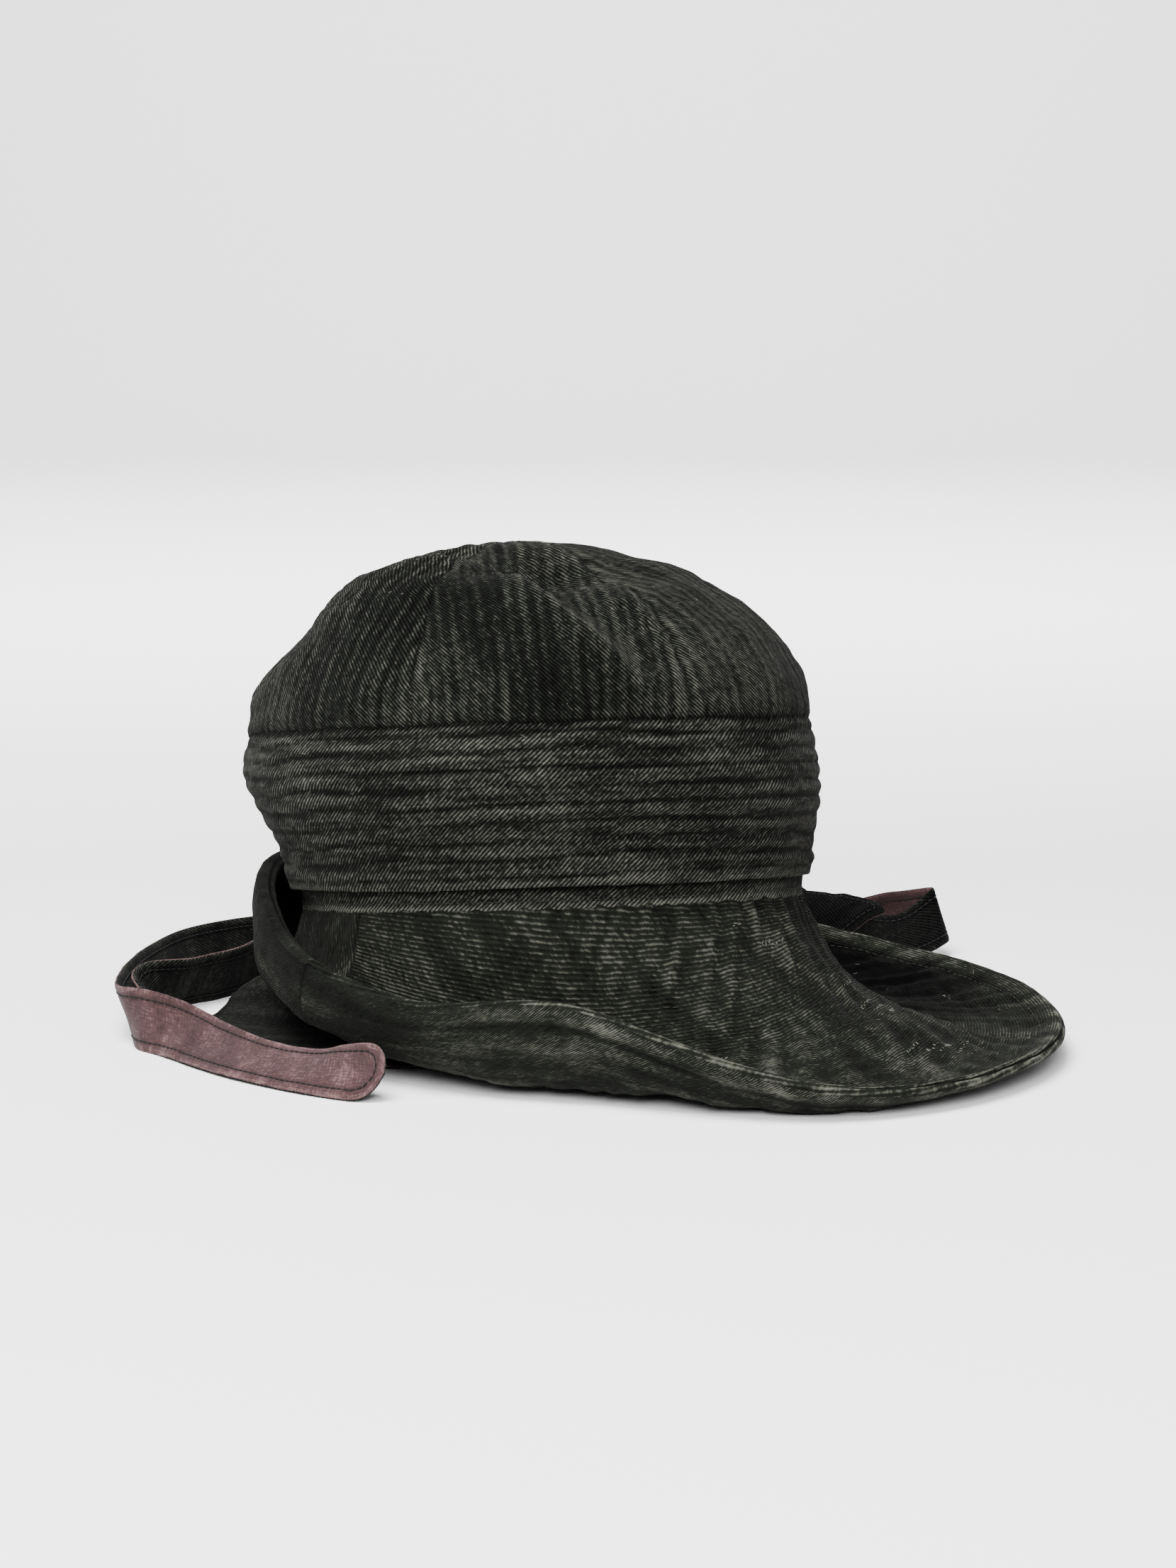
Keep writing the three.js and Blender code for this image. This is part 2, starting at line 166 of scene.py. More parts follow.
# Side band: a tall doubled band of washed black-green denim round the head, quilted in level rows
# with soft ridges between them. It hangs over the recessed strip, and the crown is sewn to its top.
HEAD_LENGTH = 192
HEAD_WIDTH = 169
SEAM_HEIGHT = 51
STRIP_HEIGHT = 8
BAND_HEIGHT = 58
FRONT_TILT = 5.2
SIDE_TILT = 6.7
BODY_CLOTH = 2
BAND_GRID = (56, 600)
QUILT_PITCH = 6.4
QUILT_DEPTH = 0.38
SEWN_DEPTH = 0.3
BAND_LINT = 90
# Up the band: its reach as a share of the head oval's, and how far it leans back and aside, as
# shares of the oval's length and width.
BAND_ROWS = [
    (1.05, 0.006, 0.003),
    (1.085, 0.018, 0.008),
    (1.13, 0.026, 0.012),
    (1.145, 0.038, 0.017),
    (1.125, 0.044, 0.02),
]
# Soft dents: the angle and half width in degrees, the height and breadth as shares, and the depth.
BAND_PINCHES = [
    (-158, 16, 0.3, 0.22, 0.02),
    (-62, 9, 0.3, 0.25, 0.008),
    (40, 14, 0.2, 0.2, 0.007),
]


def smooth(rows, at):
    """Values on a smooth line through rows that have one spare row at each end."""
    row = np.clip(np.floor(at).astype(int), 0, len(rows) - 4)
    a, b, c, d = (rows[row + i] for i in range(4))
    t = (at - row)[..., None]
    return b + 0.5 * t * (c - a + t * (2 * a - 5 * b + 4 * c - d + t * (3 * (b - c) + d - a)))


def between(rows, place, ends="held"):
    """Smooth values at a share of the way along even rows, whose ends are held, round or free."""
    rows = np.asarray(rows, float)
    place = np.asarray(place, float)
    if ends == "round":
        return smooth(np.concatenate([rows[-1:], rows, rows[:2]]), (place % 1) * len(rows))
    first, last = (rows[:1], rows[-1:])
    if ends == "free":
        first, last = (2 * first - rows[1:2], 2 * last - rows[-2:-1])
    return smooth(np.concatenate([first, rows, last]), place * (len(rows) - 1))


def head_reach(angle):
    """From the middle of the head oval to its edge."""
    return 1 / np.hypot(np.cos(angle) / (HEAD_LENGTH / 2), np.sin(angle) / (HEAD_WIDTH / 2))


def body_point(angle, spread, rise, back=0.0, aside=0.0):
    """A point of the tilted body, at a share of the head oval's reach and a rise above its seam."""
    reach = head_reach(angle) * spread
    x = reach * np.cos(angle) - back * HEAD_LENGTH
    y = reach * np.sin(angle) - aside * HEAD_WIDTH
    tilt = x * math.tan(math.radians(FRONT_TILT)) - y * math.tan(math.radians(SIDE_TILT))
    return np.stack([x, y, SEAM_HEIGHT + tilt + rise], axis=-1)


def dent_at(angle, height, dent_angle, width, dent_height, breadth):
    """How far a soft dent presses in at a place, from 0 to 1."""
    away = (angle - math.radians(dent_angle) + math.pi) % (2 * math.pi) - math.pi
    return np.exp(-((away / math.radians(width)) ** 2) - ((height - dent_height) / breadth) ** 2)


def band_surface(angle, v):
    """The side band's outer face before its quilting."""
    spread, back, aside = np.moveaxis(between(BAND_ROWS, v), -1, 0)
    for dent_angle, width, height, breadth, depth in BAND_PINCHES:
        spread = spread - 2 * depth * dent_at(angle, v, dent_angle, width, height, breadth)
    return body_point(angle, spread, STRIP_HEIGHT + v * BAND_HEIGHT, back, aside)


def grid(rows, columns, ring=False):
    """Shares across and along a patch of cloth. A ring leaves out its last column."""
    u = np.arange(columns if ring else columns + 1) / columns
    v = np.arange(rows + 1) / rows
    return np.meshgrid(u, v)


def facing(points, ring=False):
    """Directions square to a grid of points."""
    if ring:
        across = np.roll(points, -1, axis=1) - np.roll(points, 1, axis=1)
    else:
        across = np.gradient(points, axis=1)
    square = np.cross(across, np.gradient(points, axis=0))
    return square / np.maximum(np.linalg.norm(square, axis=-1, keepdims=True), 1e-9)


def run(points, axis):
    """How far along a grid's rows or columns each point lies, in millimetres."""
    steps = np.linalg.norm(np.diff(points, axis=axis), axis=-1)
    start = np.zeros_like(steps[:, :1] if axis == 1 else steps[:1])
    return np.concatenate([start, np.cumsum(steps, axis=axis)], axis=axis)


def ripple(places, sizes, seed, waves=14):
    """Smooth uneven waves of about -1 to 1, with a wavelength along each axis."""
    rng = np.random.default_rng(seed)
    sizes = np.broadcast_to(np.asarray(sizes, float), (places.shape[-1],))
    total = np.zeros(places.shape[:-1])
    for _ in range(waves):
        way = rng.normal(size=places.shape[-1])
        way *= 2 * math.pi * rng.uniform(0.7, 1.4) / np.linalg.norm(way)
        total += np.sin(places @ (way / sizes) + rng.uniform(0, 2 * math.pi))
    return total * 0.55 / math.sqrt(waves / 2)


def hump(distance, width):
    """1 on a line and falling to 0 about twice the width away from it."""
    return np.exp(-((distance / width) ** 2))


# Lines round a cut edge: the share towards the top face, how far out as a share of the thickness,
# and the tone added there: paler for rubbed wear, darker for painted shade.
ROUND_RIM = ((0.82, 0.36, 0), (0.5, 0.5, 0), (0.18, 0.36, 0))


def cloth_piece(name, top, bottom, material, wear_and_shade, ring=False, top_turned=False, rim=ROUND_RIM):
    """A closed wall of cloth between two grids of points, with a shaped edge all round it."""
    rows, across = top.shape[:2]
    columns = across if ring else across - 1
    mapped = np.concatenate([top, top[:, :1]], axis=1) if ring else top
    along = run(mapped, 1)
    if ring:
        along = np.broadcast_to(along[rows // 2], along.shape)
    else:
        along = along - along[:, columns // 2][:, None]
    up = np.broadcast_to(run(mapped, 0)[:, columns // 2][:, None], along.shape)
    flat = np.stack([along, up], axis=-1) / 1000
    number = np.arange(rows * across).reshape(rows, across)
    number = np.concatenate([number, number[:, :1]], axis=1) if ring else number
    low = number + rows * across
    corners = ((0, 0), (0, 1), (1, 1), (1, 0))

    def quads(values, order):
        cut = [values[j : rows - 1 + j, i : columns + i] for j, i in order]
        return np.stack(cut, axis=2).reshape(-1, 4, *values.shape[2:])

    faces = [quads(number, corners), quads(low, corners[::-1])]
    maps = [quads(flat[..., ::-1] if top_turned else flat, corners), quads(flat, corners[::-1])]
    if ring:
        loops = [
            [(0, i) for i in range(columns + 1)],
            [(rows - 1, i) for i in range(columns, -1, -1)],
        ]
    else:
        loops = [
            [(0, i) for i in range(columns)]
            + [(j, columns) for j in range(rows - 1)]
            + [(rows - 1, i) for i in range(columns, 0, -1)]
            + [(j, 0) for j in range(rows - 1, -1, -1)]
        ]
    points = [top.reshape(-1, 3), bottom.reshape(-1, 3)]
    wear_and_shade_values = [wear_and_shade.ravel(), wear_and_shade.ravel()]
    count = 2 * rows * across
    for loop in loops:
        j, i = np.array(loop).T
        inner_j, inner_i = np.clip(j, 1, rows - 2), i if ring else np.clip(i, 1, columns - 1)
        at_top, at_bottom = top[j, i % across], bottom[j, i % across]
        middle = (at_top + at_bottom) / 2
        out = middle - (top[inner_j, inner_i % across] + bottom[inner_j, inner_i % across]) / 2
        out /= np.maximum(np.linalg.norm(out, axis=1, keepdims=True), 1e-9)
        thick = np.linalg.norm(at_top - at_bottom, axis=1, keepdims=True)
        size = len(loop) - 1
        past = flat[j, i] - flat[inner_j, inner_i]
        past /= np.maximum(np.linalg.norm(past, axis=1, keepdims=True), 1e-9)
        past *= thick / 1000 / (len(rim) + 1)
        lines = [number[j, i]]
        for share, reach, fray_and_shade in rim:
            line = at_top * share + at_bottom * (1 - share) + out * thick * reach
            points.append(line[:size])
            wear_and_shade_values.append(wear_and_shade[j, i % across][:size] + fray_and_shade)
            lines.append(np.append(count + np.arange(size), count))
            count += size
        lines.append(low[j, i])
        for k, (above, below) in enumerate(zip(lines[:-1], lines[1:])):
            faces.append(np.stack([below[:-1], below[1:], above[1:], above[:-1]], axis=1))
            near, far = flat[j, i] + past * k, flat[j, i] + past * (k + 1)
            maps.append(np.stack([far[:-1], far[1:], near[1:], near[:-1]], axis=1))
    mesh = bpy.data.meshes.new(name)
    mesh.from_pydata(placed(np.concatenate(points)).tolist(), [], np.concatenate(faces).tolist())
    mesh.uv_layers.new(name="grain").data.foreach_set("uv", np.concatenate(maps).ravel())
    mesh.attributes.new("wear_and_shade", "FLOAT", "POINT").data.foreach_set("value", np.concatenate(wear_and_shade_values))
    mesh.shade_smooth()
    mesh.materials.append(material)
    piece = added(name, mesh)
    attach(piece, "root")
    return piece


STITCH_SIDES = 5


def stitches(name, lines, material, pitch, length, width):
    """Sewn threads as one object: short raised dashes along lines of points, with outward ways."""
    stations = [(-0.5, 0.35), (-0.25, 1), (0.25, 1), (0.5, 0.35)]
    turns = np.arange(STITCH_SIDES) * 2 * math.pi / STITCH_SIDES
    template = np.array(
        [
            (share * length, math.cos(t) * fat * width / 2, math.sin(t) * fat * width / 2)
            for share, fat in stations
            for t in turns
        ]
    )
    sides = [
        tuple(
            STITCH_SIDES * j + (t + i) % STITCH_SIDES
            for j, i in ((k, 0), (k, 1), (k + 1, 1), (k + 1, 0))
        )
        for k in range(len(stations) - 1)
        for t in range(STITCH_SIDES)
    ]
    vertices, faces = [], []
    for line, outward in lines:
        gone = np.append(0, np.cumsum(np.linalg.norm(np.diff(line, axis=0), axis=1)))
        at = np.arange(pitch / 2, gone[-1] - pitch / 2, pitch)

        def place(values, where):
            return np.stack([np.interp(where, gone, values[:, k]) for k in range(3)], axis=1)

        travel = place(line, at + 0.3) - place(line, at - 0.3)
        travel /= np.maximum(np.linalg.norm(travel, axis=1, keepdims=True), 1e-9)
        up = place(outward, at)
        across = np.cross(up, travel)
        for centre, x, y, z in zip(place(line, at), travel, across, up):
            base = len(vertices) * len(template)
            vertices.append(centre + z * width * 0.15 + template @ np.stack([x, y, z]))
            faces += [tuple(base + c for c in side) for side in sides]
            tip = base + len(template) - STITCH_SIDES
            faces.append(tuple(base + t for t in reversed(range(STITCH_SIDES))))
            faces.append(tuple(tip + t for t in range(STITCH_SIDES)))
    mesh = bpy.data.meshes.new(name)
    mesh.from_pydata(placed(np.concatenate(vertices)).tolist(), [], faces)
    mesh.shade_smooth()
    mesh.materials.append(material)
    sewn = added(name, mesh)
    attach(sewn, "root")
    return sewn


FIBRE_BENDS = 6
LINT_THICK = 0.1


def fibres(name, places, outward, lengths, thick, material, seed):
    """Loose bits of thread lying on the cloth, as one object: each is a thin bent tube."""
    rng = np.random.default_rng(seed)
    vertices, faces = [], []
    turns = np.arange(3) * 2 * math.pi / 3
    for centre, up, length in zip(places, outward, lengths):
        way = np.cross(up, rng.normal(size=3))
        way /= np.linalg.norm(way)
        side = np.cross(up, way)
        bend = rng.uniform(-0.3, 0.3) * length
        base = len(vertices)
        for k in range(FIBRE_BENDS):
            s = k / (FIBRE_BENDS - 1) - 0.5
            curl = side * bend * math.sin(4 * s) + up * (0.35 * thick + 0.12 * length * s * s)
            middle = centre + way * (s * length) + curl
            for t in turns:
                vertices.append(middle + thick / 2 * (math.cos(t) * side + math.sin(t) * up))
        for k in range(FIBRE_BENDS - 1):
            for t in range(3):
                a, b = base + 3 * k + t, base + 3 * k + (t + 1) % 3
                faces.append((a, b, b + 3, a + 3))
        tip = base + 3 * (FIBRE_BENDS - 1)
        faces += [(base + 2, base + 1, base), (tip, tip + 1, tip + 2)]
    mesh = bpy.data.meshes.new(name)
    mesh.from_pydata(placed(vertices).tolist(), [], faces)
    mesh.materials.append(material)
    lint = added(name, mesh)
    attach(lint, "root")
    return lint


def lint_on(name, face, count, seed, flip=False, ring=False):
    """Lint caught on a face: many short bits and a few longer ones."""
    rng = np.random.default_rng(seed)
    row = rng.uniform(2, face.shape[0] - 3, count)
    column = rng.uniform(1, face.shape[1] - 2, count)
    places, outward = sewn_line(face, row, column, ring)
    lengths = np.random.default_rng(seed).uniform(0.5, 1.5, count) ** 2 * 0.9
    outward = -outward if flip else outward
    return fibres(name, places, outward, lengths, LINT_THICK, lint_cotton, seed)


def on_grid(values, row, column, ring=False):
    """Values of a grid at fractional rows and columns."""
    row, column = np.broadcast_arrays(np.asarray(row, float), np.asarray(column, float))
    j = np.clip(np.floor(row).astype(int), 0, values.shape[0] - 2)
    i = np.floor(column).astype(int)
    i = i if ring else np.clip(i, 0, values.shape[1] - 2)
    a, b = (row - j)[..., None], (column - i)[..., None]
    wide = values.shape[1]
    near = values[j, i % wide] * (1 - b) + values[j, (i + 1) % wide] * b
    far = values[j + 1, i % wide] * (1 - b) + values[j + 1, (i + 1) % wide] * b
    return near * (1 - a) + far * a


def sewn_line(face, row, column, ring=False):
    """A line of points on a face with the directions outward, for stitches."""
    square = facing(face, ring)
    return on_grid(face, row, column, ring), on_grid(square, row, column, ring)


# Denim: black-green cotton woven as a twill, sewn up, then washed until its ridges are rubbed pale.
# It gives the eye fine slanted lines, paler slubs and soft patches, with almost no highlight. Real
# twill lines are about 0.8 mm apart. They are drawn at 1.1 to 1.2 mm, the finest that shows here.
def denim(name, shades, twill, pitch, slub, contrast=1.0):
    """Washed twill with its slope in degrees, its line pitch and its slubs' size in metres."""
    s = Shader(name)
    grain = s.node("ShaderNodeUVMap", uv_map="grain")
    slope = (0, 0, math.radians(90 - twill))
    turned = s.node("ShaderNodeMapping", {"Vector": grain, "Rotation": slope})

    def streaks(vector, wide, long, detail=2.0):
        scaled = s.node("ShaderNodeMapping", {"Vector": vector, "Scale": (1 / wide, 1 / long, 1)})
        made = {"Vector": scaled, "Scale": 1.0, "Detail": detail, "Roughness": 0.6}
        return s.node("ShaderNodeTexNoise", made)

    wave = {"Vector": turned, "Scale": math.pi / 10 / pitch, "Distortion": 1.2, "Detail": 1.0}
    wave["Detail Scale"] = 0.4
    ribs = s.node("ShaderNodeTexWave", wave)
    dashes = streaks(turned, pitch * 0.8, pitch * 3.2)
    slubs = streaks(grain, *slub)
    washed = streaks(grain, 0.03, 0.034, 4.0)
    fuzz = streaks(grain, 0.0016, 0.0018, 3.0)
    # This attribute holds each piece's rubbed wear, together with the painted shade and painted
    # highlight that some pieces add.
    wear_and_shade = s.node("ShaderNodeAttribute", output="Fac", attribute_name="wear_and_shade")
    threads = s.node("ShaderNodeMath", {0: ribs, 1: dashes}, operation="MULTIPLY")
    light = -0.615 - 0.248 * contrast
    shares = (threads, 0.992 * contrast), (slubs, 0.7), (washed, 0.5), (fuzz, 0.75), (wear_and_shade, 0.4)
    for pattern, share in shares:
        parts = {0: pattern, 1: share, 2: light}
        light = s.node("ShaderNodeMath", parts, operation="MULTIPLY_ADD")
    # The near-black lowest stop lets painted shade darken the cloth below its darkest thread
    # colour.
    wear_and_shade_stops = ((0, "#020202"), (0.12, shades[0]), (0.45, shades[1]), (1, shades[2]))
    colour = s.node("ShaderNodeValToRGB", {"Fac": light}, stops=wear_and_shade_stops)
    height = 0.0
    for pattern, share in ((slubs, 0.5), (threads, 1.6)):
        parts = {0: pattern, 1: share, 2: height}
        height = s.node("ShaderNodeMath", parts, operation="MULTIPLY_ADD")
    bump = s.node("ShaderNodeBump", {"Strength": 0.7, "Distance": 0.0004, "Height": height})
    finish = {"Base Color": colour, "Roughness": 0.92, "Specular IOR Level": 0.02}
    finish |= {"Sheen Weight": 0.01, "Sheen Roughness": 0.5, "Normal": bump}
    s.node("ShaderNodeOutputMaterial", {"Surface": s.node("ShaderNodeBsdfPrincipled", finish)})
    return s.material


band_denim = denim(
    "washed_twill_band",
    shades=("#0a0b09", "#151613", "#55554f"),
    twill=42,
    pitch=0.0012,
    slub=(0.045, 0.0028),
)

u, v = grid(*BAND_GRID, ring=True)
angle = u * 2 * math.pi
band = band_surface(angle, v)
square = facing(band, ring=True)
height_up = v * BAND_HEIGHT
wander = 1.1 * ripple(band, (70, 70, 40), 11) + 0.3 * ripple(band, (20, 20, 14), 17)
row_turn = 2 * math.pi * height_up / QUILT_PITCH + wander
ribs = np.cos(row_turn) * (0.7 + 0.3 * ripple(band, (40, 40, 20), 12))
sewn_rows = np.clip(-np.cos(row_turn) - 0.78, 0, 1) / 0.22
sewn_rows *= 0.75 + 0.25 * ripple(band, (30, 30, 12), 18)
quilt = (QUILT_DEPTH * ribs - SEWN_DEPTH * sewn_rows) * (1 - hump(height_up, 4))
quilt *= 1 - 0.6 * hump(BAND_HEIGHT - height_up, 3)
creases = 0.7 * ripple(band, (42, 42, 26), 13) + 0.3 * ripple(band, (14, 14, 10), 14)
slack = dent_at(angle, v, -43, 9, 0.45, 0.35)
creases += slack * (0.7 * np.sin(angle * 57.3 * 0.75 + height_up * 0.35) - 0.5)
gathers = 0.2 * np.sin(150 * angle + 3 * ripple(band, 40, 15)) * hump(BAND_HEIGHT - height_up, 5)
edges = 0.8 * hump(height_up - 4.5, 3.2) - 0.9 * hump(BAND_HEIGHT - height_up, 1.6)
band_top = band + square * (quilt + creases + gathers + edges)[..., None]
band_wear = 0.16 * ribs - 0.6 * sewn_rows + 0.35 * hump(height_up - 1, 2.2)
band_wear += 0.1 * ripple(band, 8, 16) - 0.8 * hump(BAND_HEIGHT - height_up, 1.0)
# Loose white cotton fibre, shed in the wash: dull pale specks.
lint_cotton = plain_material("loose_white_cotton_fibre", "#6f6e66", 0.9, 0.2)
band_lint = lint_on("side_band_lint", band_top, BAND_LINT, 71, ring=True)
side_band = cloth_piece(
    "side_band_cloth", band_top, band - square * BODY_CLOTH, band_denim, band_wear, ring=True
)
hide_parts("side_band")


# Recessed strip: a narrow band of the same denim between the side band and the brim, topstitched
# along its foot, where the brim and the flaps are sewn to it.
STRIP_TUCK = 0.1
SEAM_GAP = 0.3
STRIP_GRID = (12, 480)
STRIP_STITCH_UP = 2.3


def rounded_chain(points, place):
    """A chain of arcs from the first point to the last that rounds the corners between."""
    arcs = len(points) - 2
    arc = np.minimum(np.floor(place * arcs), arcs - 1).astype(int)
    t = (place * arcs - arc)[..., None]
    halves = [(points[k] + points[k + 1]) / 2 for k in range(1, arcs)]

    def pick(choices):
        stacked = np.stack([np.broadcast_to(c, (*place.shape, 3)) for c in choices])
        return np.take_along_axis(stacked, arc[None, ..., None], axis=0)[0]

    start, bend, end = pick([points[0], *halves]), pick(points[1:-1]), pick([*halves, points[-1]])
    return (1 - t) ** 2 * start + 2 * t * (1 - t) * bend + t**2 * end


u, v = grid(*STRIP_GRID, ring=True)
angle = u * 2 * math.pi
tucked = band_surface(angle, np.full_like(v, STRIP_TUCK))
step = 1e-3
tuck_square = np.cross(
    band_surface(angle + step, np.full_like(v, STRIP_TUCK)) - tucked,
    band_surface(angle, np.full_like(v, STRIP_TUCK + step)) - tucked,
)
tuck_square /= np.linalg.norm(tuck_square, axis=-1, keepdims=True)
foot = body_point(angle, 1, 0.0)
bend = body_point(angle, 1, 0.8 * STRIP_HEIGHT)
strip = rounded_chain([foot, bend, tucked - tuck_square * (BODY_CLOTH + SEAM_GAP)], v)
square = facing(strip, ring=True)
up = run(strip, 0)
strip_top = strip + square * (0.25 * ripple(strip, (9, 9, 20), 21) + 0.3 * hump(up, 1.2))[..., None]
# Paler along the foot where it is rubbed; darker at the top, tucked under the band's overhang, as
# painted shade.
strip_wear_and_shade = 0.8 * hump(up, 1.6) - 0.5 * hump(up - 9, 3.5)
lower_strip = cloth_piece(
    "lower_strip_cloth", strip_top, strip - square * BODY_CLOTH, band_denim, strip_wear_and_shade, ring=True
)
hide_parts("lower_strip")
# Charcoal cotton thread, twisted and waxed: a dark dash that barely shines.
dark_thread = plain_material("charcoal_cotton_thread", "#1d1e1b", 0.8, 0.2)
foot_rows = [np.interp(STRIP_STITCH_UP, rise, np.arange(len(rise))) for rise in up.T]
foot_rows = np.array(foot_rows + foot_rows[:1])
strip_seam = stitches(
    "strip_topstitch",
    [sewn_line(strip_top, foot_rows, np.arange(float(len(foot_rows))), ring=True)],
    dark_thread,
    pitch=3.0,
    length=2.3,
    width=0.5,
)


# Crown: six curved triangles of the same denim, felled together at seams that rise from the side
# band to the very top. The cloth is soft, and has sunk into a fold across the front and small ones.
CROWN_HEIGHT = 70
PANEL_COUNT = 6
FIRST_SEAM = -90
SEAM_PULL = 0.016
SEAM_PULL_WIDTH = 4.5
CROWN_BACK = 0.072
CROWN_ASIDE = 0.036
CROWN_END = 0.999
PANEL_GRID = (92, 76)
PANEL_LINT = 26
STRIPE_PITCH = 5.2
FOLD_HEIGHT = 3.8
FOLD_HOLLOW = 3.4
# Dents: the angle and the climb in degrees, the breadth and height in which they fade, and how far
# they sink and push in, as shares of the crown's height and spread.
CROWN_DENTS = [
    (-52, 58, 0.3, 0.16, 0.13, 0.05),
    (-90, 48, 0.2, 0.14, -0.04, -0.05),
    (-152, 34, 0.35, 0.2, 0.03, 0.07),
    (75, 60, 0.4, 0.24, 0.08, 0.02),
    (165, 45, 0.3, 0.2, 0.05, 0.04),
]


def crown_dent_at(angle, climb, dent_angle, dent_climb, wide, tall):
    """How far a dent of the crown presses in at a place, from 0 to 1."""
    turn = angle - math.radians(dent_angle)
    tip = math.radians(dent_climb)
    aside = np.cos(climb) * np.sin(turn)
    above = np.sin(climb) * math.cos(tip) - np.cos(climb) * np.cos(turn) * math.sin(tip)
    front = np.cos(climb) * np.cos(turn) * math.cos(tip) + np.sin(climb) * math.sin(tip)
    return np.where(front > 0, np.exp(-((aside / wide) ** 2) - (above / tall) ** 2), 0)


def crown_surface(angle, v):
    """The crown's outer face before its seams and small folds."""
    climb = v * math.pi / 2
    top_spread, top_back, top_aside = BAND_ROWS[-1]
    spread = top_spread * np.cos(climb)
    rise = CROWN_HEIGHT * np.sin(climb)
    for dent_angle, dent_climb, wide, tall, sink, push in CROWN_DENTS:
        share = crown_dent_at(angle, climb, dent_angle, dent_climb, wide, tall)
        rise = rise - sink * CROWN_HEIGHT * share
        spread = spread * (1 - push * share)
    for seam in range(PANEL_COUNT):
        at = FIRST_SEAM + seam * 360 / PANEL_COUNT
        spread = spread * (1 - SEAM_PULL * dent_at(angle, v, at, SEAM_PULL_WIDTH, 0.4, 0.5))
    lean = np.sin(climb) ** 2
    back = top_back + (CROWN_BACK - top_back) * lean
    aside = top_aside + (CROWN_ASIDE - top_aside) * lean
    return body_point(angle, spread, STRIP_HEIGHT + BAND_HEIGHT + rise, back, aside)


# The fold that the sunken crown makes, from left to right: the angle and the share of the way up.
CREST = [
    (-153, 0.378),
    (-119, 0.465),
    (-109.6, 0.615),
    (-91.6, 0.669),
    (-71.8, 0.642),
    (-58, 0.455),
    (-51.5, 0.344),
    (-44.2, 0.217),
    (-37.3, 0.03),
]


def beside_crest(points):
    """Millimetres from the crown's fold, positive on its upper side, and the share along it."""
    knots = np.array(CREST)
    line = between(knots, np.linspace(0, 1, 160))
    line = crown_surface(np.radians(line[:, 0]), line[:, 1])
    away = points[..., None, :] - line
    gap = np.linalg.norm(away, axis=-1)
    nearest = gap.argmin(axis=-1)
    travel = np.gradient(line, axis=0)
    outward = line - np.array([-10, 0, SEAM_HEIGHT + STRIP_HEIGHT + BAND_HEIGHT - 10])
    outward /= np.linalg.norm(outward, axis=-1, keepdims=True)
    upper = np.cross(outward, travel)[nearest]
    picked = np.take_along_axis(away, nearest[..., None, None], axis=-2)[..., 0, :]
    return gap.min(axis=-1) * np.sign((picked * upper).sum(-1)), nearest / 159


crown_denim = denim(
    "washed_twill_crown",
    shades=("#080907", "#111310", "#4a4a44"),
    twill=135,
    pitch=0.0011,
    slub=(0.006, 0.08),
)
for seam in range(PANEL_COUNT):
    u, v = grid(*PANEL_GRID)
    start = math.radians(FIRST_SEAM + seam * 360 / PANEL_COUNT)
    panel = crown_surface(start + u * 2 * math.pi / PANEL_COUNT, v * CROWN_END)
    square = facing(panel)
    along, up = run(panel, 1), run(panel, 0)
    to_seam = np.minimum(along, along[:, -1:] - along)
    seam_line = -0.5 * hump(to_seam, 1.0) + 0.25 * hump(to_seam - 3.4, 1.8)
    pucker = 0.3 * np.sin(up * 2 * math.pi / 8 + 3 * ripple(panel, 30, 31)) * np.exp(-to_seam / 6)
    folds = 0.75 * ripple(panel, (34, 34, 20), 32) + 0.3 * ripple(panel, (11, 11, 9), 33)
    from_middle = along - along[:, -1:] / 2
    sway = 0.8 * ripple(panel, 40, 35)
    stripes = 0.13 * np.cos(from_middle * 2 * math.pi / STRIPE_PITCH + sway)
    foot_line = -0.9 * hump(up, 1.6) + 0.22 * np.sin(along * 2 * math.pi / 4.2) * hump(up, 4)
    beside, share = beside_crest(panel)
    ends = np.clip(share * 6, 0, 1) * np.clip((1 - share) * 5, 0, 1)
    crest = np.where(beside > 0, np.exp(-beside / 3.6), np.exp(-((beside / 10) ** 2)))
    behind = np.where(beside > 0, hump(beside - 11, 9), 0)
    fold = ends * (FOLD_HEIGHT * crest - FOLD_HOLLOW * behind)
    gathered = 0.6 * np.sin(along * 2 * math.pi / 4.8) * behind * ends
    depth = seam_line + pucker + folds * np.clip(up / 6, 0, 1) + foot_line + stripes
    depth += fold + gathered
    panel_top = panel + square * depth[..., None]
    wear_and_shade = 0.25 * hump(to_seam - 2.4, 1.4) - 0.4 * hump(to_seam, 0.6) - 0.7 * hump(up, 1.0)
    # Along the fold's ridge the cloth is drawn paler, part rubbed wear and part painted highlight.
    wear_and_shade += 0.1 * ripple(panel, 8, 34) + 1.9 * stripes + 0.6 * ends * hump(beside - 0.3, 1.4)
    # A broad band below the fold is darkened as painted shade.
    wear_and_shade -= 0.45 * ends * hump(beside + 24, 20)
    name = f"crown_panel_{seam + 1}"
    panel_low = panel - square * BODY_CLOTH
    piece = cloth_piece(f"{name}_cloth", panel_top, panel_low, crown_denim, wear_and_shade)
    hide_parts(name)
    length = float(up[-1, PANEL_GRID[1] // 2]) / 1000
    panel_lint = lint_on(f"{name}_lint", panel_top, PANEL_LINT, 80 + seam)


